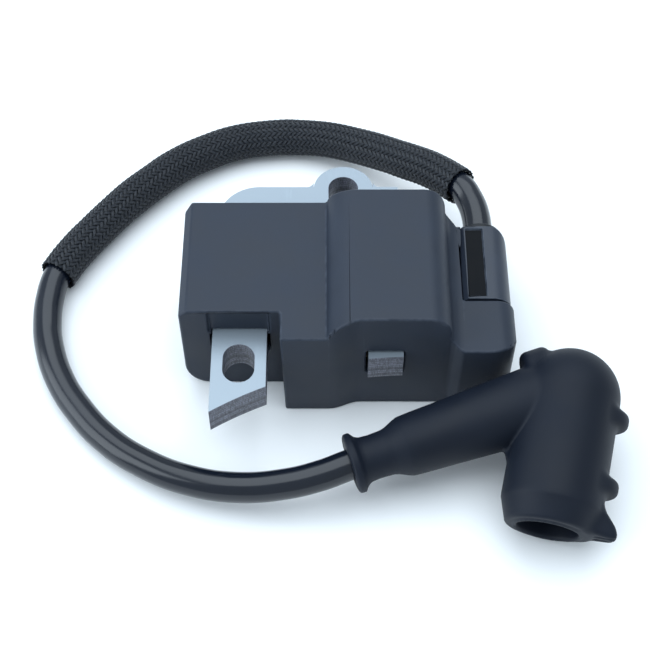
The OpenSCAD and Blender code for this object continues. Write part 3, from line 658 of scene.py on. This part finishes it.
@dataclass
class Studio:
    """Floor, lights and camera."""

    camera_at: Colour = (-3.8, -135.6, 206.0)
    pitch: float = 56.0
    lens: float = 77.5
    floor_size: float = 3.0

    def build(self) -> None:
        """Makes the floor, the world's light, the lamps and the camera."""
        half = self.floor_size / 2
        corners = np.array([[-half, -half, 0], [half, -half, 0], [half, half, 0], [-half, half, 0]])
        floor = mesh_object("floor", corners, np.array([[0, 1, 2, 3]]))
        floor.data.materials.append(self.floor_material())
        world = bpy.data.worlds.new("studio")
        bpy.context.scene.world = world
        world.use_nodes = True
        backdrop = world.node_tree.nodes["Background"]
        backdrop.inputs[0].default_value = (0.80, 0.91, 1.0, 1.0)
        backdrop.inputs[1].default_value = 0.72
        self.lamp("overhead", (0.0, 0.25, 1.0), (0, 0, 0), 1.3, 13.0)
        self.lamp("left_softbox", (-0.9, -0.1, 0.45), (0, 0, 0.01), 0.8, 7.0)
        bpy.context.scene.view_settings.view_transform = "Standard"
        self.camera()

    @staticmethod
    def floor_material() -> bpy.types.Material:
        """Returns a plain pale floor."""
        mat = bpy.data.materials.new("pale_floor")
        mat.use_nodes = True
        shader = mat.node_tree.nodes["Principled BSDF"]
        shader.inputs["Base Color"].default_value = (0.93, 0.94, 0.95, 1.0)
        shader.inputs["Roughness"].default_value = 0.8
        return mat

    @staticmethod
    def lamp(name: str, place: Colour, target: Colour, size: float, power: float) -> None:
        """Adds a square area lamp that faces a target.

        Args:
            name: The lamp's name.
            place: Where it hangs, in metres.
            target: What it faces, in metres.
            size: Its side, in metres.
            power: Its power in watts.
        """
        data = bpy.data.lights.new(name, "AREA")
        data.size = size
        data.energy = power
        data.color = (0.84, 0.93, 1.0)
        lamp = bpy.data.objects.new(name, data)
        lamp.location = place
        aim = Vector(target) - Vector(place)
        lamp.rotation_euler = aim.to_track_quat("-Z", "Y").to_euler()
        bpy.context.scene.collection.objects.link(lamp)

    def camera(self) -> None:
        """Adds the scene's camera."""
        data = bpy.data.cameras.new("camera")
        data.lens = self.lens
        data.sensor_width = 36.0
        data.clip_start = 0.01
        camera = bpy.data.objects.new("camera", data)
        camera.location = Vector(self.camera_at) * MM
        camera.rotation_euler = (math.radians(90 - self.pitch), 0, 0)
        bpy.context.scene.collection.objects.link(camera)
        bpy.context.scene.camera = camera


def route_curve(name: str, points: list, radius: float) -> bpy.types.Object:
    """Makes a smooth curve object through points.

    Args:
        name: The object's name.
        points: Places in millimetres.
        radius: Radius of its round section in millimetres, 0 for a bare line.

    Returns:
        The linked curve object.
    """
    data = bpy.data.curves.new(name, "CURVE")
    data.dimensions = "3D"
    data.resolution_u = 8
    data.bevel_depth = radius * MM
    data.bevel_resolution = 10
    data.use_fill_caps = True
    spline = data.splines.new("BEZIER")
    spline.bezier_points.add(len(points) - 1)
    for knot, place in zip(spline.bezier_points, points):
        knot.co = Vector(place) * MM
        knot.handle_left_type = "AUTO"
        knot.handle_right_type = "AUTO"
    obj = bpy.data.objects.new(name, data)
    bpy.context.scene.collection.objects.link(obj)
    return obj


@dataclass
class Lead:
    """The high-voltage lead, from its terminal in the tower to the spike in the boot."""

    diameter: float = 5.0
    in_boot: float = 26.0
    exit: Colour = (22.8, 13.2, 13.0)

    def build(self, arm: Vector, book: FinishBook) -> bpy.types.Object:
        """Makes the lead.

        Args:
            arm: Direction of the boot's arm.
            book: The finishes.

        Returns:
            The lead's curve object.
        """
        collar = Vector(LEAD_ROUTE[-1])
        inside = [tuple(collar + arm * s) for s in (8.0, 17.0, self.in_boot)]
        lead = route_curve("high_voltage_lead", LEAD_ROUTE + inside, self.diameter / 2)
        lead.data.materials.append(book.jacket)
        return placed(lead, "coil", "lead_insulation")


@dataclass
class Sleeve:
    """The braided sleeve: two families of flat yarns that cross over and under."""

    carriers: int = 24
    radius: float = 3.2
    turns: float = 3.8
    yarn_width: float = 0.62
    yarn_thickness: float = 0.26
    rise: float = 0.13
    segments: int = 300
    crumple: float = 0.28

    def build(self, book: FinishBook) -> bpy.types.Object:
        """Makes the braid along the lead's route.

        Args:
            book: The finishes.

        Returns:
            The sleeve's mesh object.
        """
        route = LEAD_ROUTE[SLEEVE_FIRST:SLEEVE_LAST + 1]
        line = route_curve("braided_sleeve_weave", route, 0.0)
        modifier = line.modifiers.new("braid", "NODES")
        modifier.node_group = self.tree(book.braid)
        sizes = {"Carriers": self.carriers, "Segments": self.segments, "Turns": self.turns,
                 "Radius": self.radius * MM, "Yarn Width": self.yarn_width * MM,
                 "Yarn Thickness": self.yarn_thickness * MM, "Rise": self.rise * MM,
                 "Crumple": self.crumple * MM}
        set_inputs(modifier, sizes)
        sleeve = applied(line)
        merge_close(sleeve.data, 0.0005 * MM)
        return placed(sleeve, "coil", "braided_sleeve")

    @staticmethod
    def tree(material: bpy.types.Material) -> bpy.types.NodeTree:
        """Builds the braid's node tree.

        Args:
            material: The yarn's material.

        Returns:
            The tree.
        """
        number = ("NodeSocketFloat", 0.001)
        tree, g, start, end = new_group(
            "braid_weave", "GeometryNodeTree",
            {"Path": ("NodeSocketGeometry",), "Carriers": ("NodeSocketInt", 24),
             "Segments": ("NodeSocketInt", 300), "Turns": ("NodeSocketFloat", 3.8),
             "Radius": number, "Yarn Width": number, "Yarn Thickness": number, "Rise": number,
             "Crumple": number},
            {"Geometry": "NodeSocketGeometry"})
        size = start.outputs
        family = size["Carriers"]
        count = g.math("MULTIPLY", family, 2.0)
        line = g.add("GeometryNodeMeshLine", {"Count": count, "Offset": (0.0, 0.0, 0.0)})
        catch = g.add("GeometryNodeCaptureAttribute", {0: line.outputs[0]})
        catch.capture_items.new("FLOAT", "yarn")
        tree.links.new(g.add("GeometryNodeInputIndex").outputs[0], catch.inputs["yarn"])
        strip = g.add("GeometryNodeMeshGrid", {"Size X": 1.0, "Size Y": 1.0,
                                               "Vertices X": size["Segments"], "Vertices Y": 5})
        spread = g.add("GeometryNodeInstanceOnPoints", {"Points": catch.outputs[0],
                                                        "Instance": strip.outputs[0]})
        real = g.add("GeometryNodeRealizeInstances", {0: spread.outputs[0]})
        yarn = catch.outputs["yarn"]
        way = g.math("SIGN", g.math("SUBTRACT", g.math("SUBTRACT", family, 0.5), yarn))
        at = g.add("ShaderNodeSeparateXYZ", {0: g.add("GeometryNodeInputPosition").outputs[0]})
        along = g.math("ADD", at.outputs[0], 0.5)
        turn = g.math("MULTIPLY", g.math("ADD", at.outputs[1], 0.5), math.tau)
        across = g.math("MULTIPLY", g.math("COSINE", turn), g.math("MULTIPLY", size["Yarn Width"], 0.5))
        lift = g.math("MULTIPLY", g.math("SINE", turn), g.math("MULTIPLY", size["Yarn Thickness"], 0.5))
        length = g.add("GeometryNodeCurveLength", {0: size["Path"]}).outputs[0]
        wrap = g.math("MULTIPLY", g.math("MULTIPLY", size["Turns"], math.tau), size["Radius"])
        slant = g.math("ARCTAN2", wrap, length)
        crossings = g.math("MULTIPLY", g.math("MULTIPLY", size["Turns"], 2.0), family)
        crossing = g.math("MULTIPLY", crossings, along)
        phase = g.math("ADD", g.math("MULTIPLY", g.math("ADD", g.math("MULTIPLY", yarn, 2.0),
                                                        g.math("MULTIPLY", way, crossing)), math.pi / 2),
                       math.pi / 4)
        weave = g.math("MULTIPLY", g.math("MULTIPLY", way, size["Rise"]), g.math("SINE", phase))
        angle = g.math("ADD", g.math("DIVIDE", g.math("MULTIPLY", yarn, math.tau), family),
                       g.math("MULTIPLY", g.math("MULTIPLY", way, along),
                              g.math("MULTIPLY", size["Turns"], math.tau)))
        angle = g.math("ADD", angle, g.math("DIVIDE", g.math("MULTIPLY", across, g.math("COSINE", slant)),
                                            size["Radius"]))
        travel = g.math("SUBTRACT", g.math("MULTIPLY", along, length),
                        g.math("MULTIPLY", g.math("MULTIPLY", way, across), g.math("SINE", slant)))
        sample = g.add("GeometryNodeSampleCurve", {"Curves": size["Path"], "Length": travel},
                       mode="LENGTH", data_type="FLOAT", use_all_curves=False)
        normal = sample.outputs["Normal"]
        binormal = g.vector("CROSS_PRODUCT", sample.outputs["Tangent"], normal)
        spoke = g.vector("ADD", g.scaled(normal, g.math("COSINE", angle)),
                         g.scaled(binormal, g.math("SINE", angle)))
        dents = g.add("ShaderNodeTexNoise", {"Vector": g.vector("ADD", sample.outputs["Position"],
                                                                g.scaled(spoke, 0.003)),
                                             "Scale": 130.0, "Detail": 1.0})
        dent = g.math("MULTIPLY", g.math("SUBTRACT", dents.outputs[0], 0.62), size["Crumple"])
        reach = g.math("ADD", g.math("ADD", size["Radius"], weave), g.math("ADD", lift, dent))
        place = g.vector("ADD", sample.outputs["Position"], g.scaled(spoke, reach))
        stored = g.add("GeometryNodeStoreNamedAttribute",
                       {"Geometry": real.outputs[0], "Name": "across", "Value": g.math("COSINE", turn)},
                       data_type="FLOAT", domain="POINT")
        moved = g.add("GeometryNodeSetPosition", {"Geometry": stored.outputs[0], "Position": place})
        smooth = g.add("GeometryNodeSetShadeSmooth", {"Geometry": moved.outputs[0]})
        painted = g.add("GeometryNodeSetMaterial", {"Geometry": smooth.outputs[0], "Material": material})
        whole = g.add("GeometryNodeRealizeInstances", {0: painted.outputs[0]})
        tree.links.new(whole.outputs[0], end.inputs[0])
        return tree


def set_inputs(modifier: bpy.types.NodesModifier, values: dict[str, object]) -> None:
    """Sets a Geometry Nodes modifier's inputs by their names in the tree."""
    for item in modifier.node_group.interface.items_tree:
        if item.item_type == "SOCKET" and item.in_out == "INPUT" and item.name in values:
            modifier[item.identifier] = values[item.name]


def placed(piece: bpy.types.Object, body: str, node: str) -> bpy.types.Object:
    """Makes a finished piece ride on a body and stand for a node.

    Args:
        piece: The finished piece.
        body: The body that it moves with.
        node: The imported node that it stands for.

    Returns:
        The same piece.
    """
    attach(piece, body)
    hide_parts(node)
    return piece


def merge_close(mesh: bpy.types.Mesh, distance: float) -> None:
    """Merges vertices that are closer than a distance, and turns all faces outwards."""
    work = bmesh.new()
    work.from_mesh(mesh)
    bmesh.ops.remove_doubles(work, verts=work.verts, dist=distance)
    bmesh.ops.recalc_face_normals(work, faces=work.faces)
    work.to_mesh(mesh)
    work.free()


@dataclass
class Boot:
    """The rubber elbow boot, meshed from a distance field with soft blends. Millimetres."""

    collar: np.ndarray
    arm: np.ndarray
    mouth: np.ndarray
    barrel: np.ndarray
    barrel_radius: float = 8.05
    barrel_length: float = 22.1
    arm_length: float = 37.7
    socket_radius: float = 4.8
    socket_depth: float = 15.0
    pocket_radius: float = 4.4
    lead_radius: float = 2.62
    fin_radius: float = 4.5
    fin_height: float = 1.8
    fin_thickness: float = 2.7
    fin_places: tuple[float, float] = (2.6, 13.8)
    lobe_before_elbow: float = 3.4
    lobe_reach: float = 8.9
    lobe_thickness: float = 4.6
    tab_reach: float = 10.7
    grid: float = 0.3
    arm_profile: list[tuple[float, float]] = field(default_factory=lambda: [
        (0.0, 4.7), (0.3, 4.9), (1.2, 4.9), (1.5, 4.5), (1.9, 4.02), (2.5, 3.72), (4.0, 3.6),
        (6.2, 3.7), (7.0, 3.9), (8.3, 4.5), (9.2, 4.86), (9.7, 4.92), (11.0, 5.02), (16.0, 5.25),
        (26.0, 5.8), (37.7, 6.4)])
    barrel_profile: list[tuple[float, float]] = field(default_factory=lambda: [
        (-9.0, 8.05), (17.6, 8.05), (18.3, 8.0), (18.8, 7.82), (21.4, 7.0), (22.1, 6.8)])

    def centre(self) -> np.ndarray:
        """Returns the elbow's centre."""
        return self.mouth - self.barrel * self.barrel_length

    @staticmethod
    def turned(points: np.ndarray, start: np.ndarray, axis: np.ndarray) -> tuple:
        """Returns how far points lie along an axis and from it."""
        rest = points - start
        along = rest @ axis
        off = rest - along[..., None] * axis
        return along, np.sqrt((off ** 2).sum(-1))

    def shape(self, points: np.ndarray) -> np.ndarray:
        """Returns the distance to the boot's surface, negative in the rubber.

        Args:
            points: Places in millimetres.

        Returns:
            One distance for each place.
        """
        along, off = self.turned(points, self.collar, self.arm)
        arm = (off - np.interp(along, *zip(*self.arm_profile))) * PROFILE_SLOPE
        arm = smooth_max(smooth_max(arm, -along, 0.7), along - self.arm_length, 0.5)
        centre = self.centre()
        down, out = self.turned(points, centre, self.barrel)
        dome = np.sqrt(((points - centre) ** 2).sum(-1)) - self.barrel_radius
        tube = (out - np.interp(down, *zip(*self.barrel_profile))) * PROFILE_SLOPE
        tube = smooth_max(smooth_max(tube, -down, 0.2), down - self.barrel_length, 0.5)
        whole = smooth_min(np.minimum(dome, tube), arm, 0.4)
        whole = smooth_min(whole, self.web(points), 0.8)
        side = np.cross(self.barrel, (0.0, 0.0, 1.0))
        side = side / np.linalg.norm(side)
        side = side if side[0] > 0 else -side
        lift = np.cross(side, self.barrel)
        rest = points - centre
        right, up = rest @ side, rest @ lift
        for place in self.fin_places:
            disc = np.hypot(right - (self.barrel_radius + self.fin_height - self.fin_radius), up)
            whole = smooth_min(whole, self.slab(disc - self.fin_radius, down - place,
                                                self.fin_thickness / 2), 0.9)
        back = np.cross((0.0, 0.0, 1.0), self.arm)
        back = back / np.linalg.norm(back)
        rest = points - self.collar
        disc = np.hypot(rest @ back - (self.lobe_reach - self.fin_radius), rest @ np.cross(back, self.arm))
        from_lobe = along - self.arm_length + self.lobe_before_elbow
        whole = smooth_min(whole, self.slab(disc - self.fin_radius, from_lobe,
                                            self.lobe_thickness / 2), 0.7)
        whole = smooth_min(whole, self.tab(right, up, down), 0.8)
        lip = np.hypot(out - self.socket_radius - 0.45, down - self.barrel_length + 0.1) - 0.4
        whole = smooth_min(whole, lip, 0.25)
        socket = np.maximum(out - self.socket_radius, self.barrel_length - self.socket_depth - down)
        pocket = np.maximum(out - self.pocket_radius, -down)
        pocket = np.minimum(pocket, dome + self.barrel_radius - self.pocket_radius)
        hole = np.maximum(off - self.lead_radius, along - self.arm_length + 2.0)
        return smooth_max(whole, -np.minimum(np.minimum(socket, pocket), hole), 0.3)

    @staticmethod
    def slab(outline: np.ndarray, height: np.ndarray, half: float) -> np.ndarray:
        """Returns a plate with rounded edges from its flat outline's distance."""
        return smooth_max(outline, np.abs(height) - half, 1.2)

    def web(self, points: np.ndarray) -> np.ndarray:
        """Returns the thin gusset in the corner between the arm and the barrel."""
        corner = self.centre() + self.barrel * 6.5 - self.arm * 7.6
        rest = points - corner
        across = np.cross(self.arm, self.barrel)
        across = across / np.linalg.norm(across)
        flat = rest - (rest @ across)[..., None] * across
        return smooth_max(np.sqrt((flat ** 2).sum(-1)) - 2.2, np.abs(rest @ across) - 0.9, 0.5)

    def tab(self, right: np.ndarray, up: np.ndarray, down: np.ndarray) -> np.ndarray:
        """Returns the pull tab at the mouth, with two grooves along its face.

        Args:
            right: Distance from the barrel's axis towards the tab.
            up: Distance from the tab's middle plane.
            down: Distance along the barrel's axis.

        Returns:
            The tab's distance field.
        """
        back = (16.9 + (right - 7.5) * 1.1 - down) / 1.49
        width = np.interp(right, (5.0, 8.0, self.tab_reach), (3.6, 2.5, 1.6))
        body = smooth_max(down - self.barrel_length + 0.2, back, 0.8)
        body = smooth_max(body, right - self.tab_reach, 0.9)
        body = smooth_max(body, np.maximum(np.abs(up) - width, 3.0 - right), 0.9)
        groove = np.hypot(np.abs(up) - 0.85, down - self.barrel_length + 0.1) - 0.36
        groove = np.maximum(groove, 6.9 - right)
        return smooth_max(body, -groove, 0.2)

    def build(self, book: FinishBook) -> bpy.types.Object:
        """Makes the boot.

        Args:
            book: The finishes.

        Returns:
            The boot's mesh object.
        """
        low, high = (np.array(c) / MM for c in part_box("boot"))
        vertices, faces = surface_net(self.shape, low - 1.0, high + 1.0, self.grid)
        boot = mesh_object("plug_boot", vertices * MM, faces)
        boot.data.materials.append(book.boot)
        return placed(boot, "boot", "boot")


@dataclass
class PlugSpring:
    """The coil in the boot that snaps over the plug's terminal, and its spike."""

    boot: Boot
    radius: float = 3.6
    wire: float = 0.5
    turns: float = 3.0
    pitch: float = 1.25
    spike: float = 8.0
    lead_end: float = 26.0  # how far the lead reaches into the boot
    first_turn: float = 1.5  # the coil's start and the spike's tip, from their seats
    root: float = 2.6  # how far the spike goes on past the lead's end

    def build(self, book: FinishBook) -> bpy.types.Object:
        """Makes the spring from a node tree: a spiral and a straight spike.

        Args:
            book: The finishes.

        Returns:
            The spring's mesh object.
        """
        seat = bpy.data.objects.new("plug_contact_spring", bpy.data.meshes.new("spring_seed"))
        bpy.context.scene.collection.objects.link(seat)
        modifier = seat.modifiers.new("spring", "NODES")
        modifier.node_group = self.tree(book.spring)
        down = Vector(self.boot.barrel)
        start = Vector(self.boot.centre() + self.boot.barrel * self.first_turn)
        arm = Vector(self.boot.arm)
        tip = Vector(self.boot.collar) + arm * (self.lead_end - self.spike + self.first_turn)
        set_inputs(modifier, {"Turns": self.turns, "Radius": self.radius * MM,
                              "Wire": self.wire * MM, "Rise": self.turns * self.pitch * MM,
                              "Seat": tuple(start * MM),
                              "Turn": tuple(down.to_track_quat("Z", "X").to_euler()),
                              "Tip": tuple(tip * MM),
                              "Root": tuple((tip + arm * (self.spike + self.root)) * MM)})
        spring = applied(seat)
        return placed(spring, "boot", "plug_spring")

    @staticmethod
    def tree(material: bpy.types.Material) -> bpy.types.NodeTree:
        """Builds the spring's node tree.

        Args:
            material: The wire's material.

        Returns:
            The tree.
        """
        number = ("NodeSocketFloat", 0.001)
        point = ("NodeSocketVector",)
        tree, g, start, end = new_group(
            "wire_spring", "GeometryNodeTree",
            {"Seed": ("NodeSocketGeometry",), "Turns": ("NodeSocketFloat", 3.0), "Radius": number,
             "Wire": number, "Rise": number, "Seat": point, "Turn": point, "Tip": point, "Root": point},
            {"Geometry": "NodeSocketGeometry"})
        size = start.outputs
        spiral = g.add("GeometryNodeCurveSpiral", {"Resolution": 28, "Rotations": size["Turns"],
                                                   "Start Radius": size["Radius"],
                                                   "End Radius": size["Radius"], "Height": size["Rise"]})
        seated = g.add("GeometryNodeTransform", {"Geometry": spiral.outputs[0],
                                                 "Translation": size["Seat"], "Rotation": size["Turn"]})
        spike = g.add("GeometryNodeCurvePrimitiveLine", {"Start": size["Tip"], "End": size["Root"]})
        both = g.add("GeometryNodeJoinGeometry")
        tree.links.new(seated.outputs[0], both.inputs[0])
        tree.links.new(spike.outputs[0], both.inputs[0])
        ring = g.add("GeometryNodeCurvePrimitiveCircle", {"Resolution": 12, "Radius": size["Wire"]})
        wire = g.add("GeometryNodeCurveToMesh", {"Curve": both.outputs[0],
                                                 "Profile Curve": ring.outputs[0], "Fill Caps": True})
        smooth = g.add("GeometryNodeSetShadeSmooth", {"Geometry": wire.outputs[0]})
        painted = g.add("GeometryNodeSetMaterial", {"Geometry": smooth.outputs[0], "Material": material})
        whole = g.add("GeometryNodeRealizeInstances", {0: painted.outputs[0]})
        tree.links.new(whole.outputs[0], end.inputs[0])
        return tree


@dataclass
class Casing:
    """The coil's moulded housing and the cap on its lead tower."""

    rounding: float = 0.4
    cap_rounding: float = 0.16
    inset_depth: float = 0.4

    def build(self, book: FinishBook) -> list[bpy.types.Object]:
        """Makes both pieces with rounded edges.

        Args:
            book: The finishes.

        Returns:
            The housing and the cap.
        """
        shell = rounded("housing", "housing_shell", self.rounding)
        cap = rounded("tower_cap", "lead_tower_cap", self.cap_rounding)
        for piece, node, finish in ((shell, "housing", book.shell), (cap, "tower_cap", book.cap)):
            piece.data.materials.clear()
            piece.data.materials.append(finish)
            piece.data.materials.append(book.inset)
            placed(piece, "coil", node)
        # The cap's sunk patch gets a painted shade.
        self.paint_inset_shade(cap.data)
        return [shell, cap]

    def paint_inset_shade(self, mesh: bpy.types.Mesh) -> None:
        """Gives the cap's sunk patch its smoother, darker finish; the darker colour is painted shade.

        Args:
            mesh: The cap's mesh.
        """
        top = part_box("tower_cap")[1][2] / MM
        for face in mesh.polygons:
            height = face.center.z / MM - top
            if face.normal.z > 0.9 and abs(height + self.inset_depth) < 0.05:
                face.material_index = 1


@dataclass
class Seal:
    """The rubber seal at the lead's exit, a turned collar with a rounded lip."""

    rounding: float = 0.25

    def build(self, book: FinishBook) -> bpy.types.Object:
        """Makes the seal.

        Args:
            book: The finishes.

        Returns:
            The seal's mesh object.
        """
        seal = rounded("lead_seal", "lead_exit_seal", self.rounding, 3)
        seal.data.materials.clear()
        seal.data.materials.append(book.seal)
        return placed(seal, "coil", "lead_seal")


@dataclass
class Inside:
    """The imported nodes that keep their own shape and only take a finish."""

    sheets: int = 11

    def dress(self, nodes: dict[str, bpy.types.Object], book: FinishBook) -> list[bpy.types.Object]:
        """Gives each node its material.

        Args:
            nodes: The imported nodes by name.
            book: The finishes.

        Returns:
            The dressed nodes.
        """
        plan = {f"lamination_{i}": book.steel for i in range(1, self.sheets + 1)}
        plan |= {"potting_resin": book.resin, "pole_liner": book.paper, "primary_bobbin": book.bobbin,
                 "primary_winding": book.copper, "secondary_bobbin": book.green_bobbin,
                 "secondary_winding": book.copper, "charge_bobbin": book.bobbin,
                 "charge_winding": book.copper, "trigger_winding": book.copper,
                 "circuit_board": book.board, "storage_capacitor": book.film, "thyristor": book.case,
                 "rectifier_diodes": book.case, "bias_resistors": book.case, "earth_tag": book.brass,
                 "ht_link": book.brass, "ht_terminal": book.brass, "lead_conductor": book.copper}
        for name, finish in plan.items():
            nodes[name].data.materials.clear()
            nodes[name].data.materials.append(finish)
        return [nodes[name] for name in plan]


def boot_from_frame() -> Boot:
    """Takes the boot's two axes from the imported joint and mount.

    Returns:
        The boot, ready to build.
    """
    swivel = next(j for j in frame["joints"] if j["name"] == "boot_swivel")
    socket = next(m for m in frame["record"]["mounts"] if m["name"] == "boot_socket")
    return Boot(collar=np.array(swivel["pos_m"]) / MM,
                arm=np.array(swivel["axis"]) / np.linalg.norm(swivel["axis"]),
                mouth=np.array(socket["pos_m"]) / MM,
                barrel=np.array(socket["axis"]) / np.linalg.norm(socket["axis"]))


def main() -> None:
    """Builds the scene in order."""
    logging.basicConfig(level=logging.INFO, format="%(name)s: %(message)s")
    Studio().build()
    book = FinishBook()
    boot = boot_from_frame()
    lead = Lead()
    cord = lead.build(Vector(boot.arm), book)
    sleeve = Sleeve().build(book)
    shell = boot.build(book)
    spring = PlugSpring(boot).build(book)
    pieces = [cord, sleeve, shell, spring, *Casing().build(book), Seal().build(book)]
    for node in Inside().dress(frame["nodes"], book):
        LOG.info("%s keeps its packed shape", node.name)


if __name__ == "__main__":
    main()
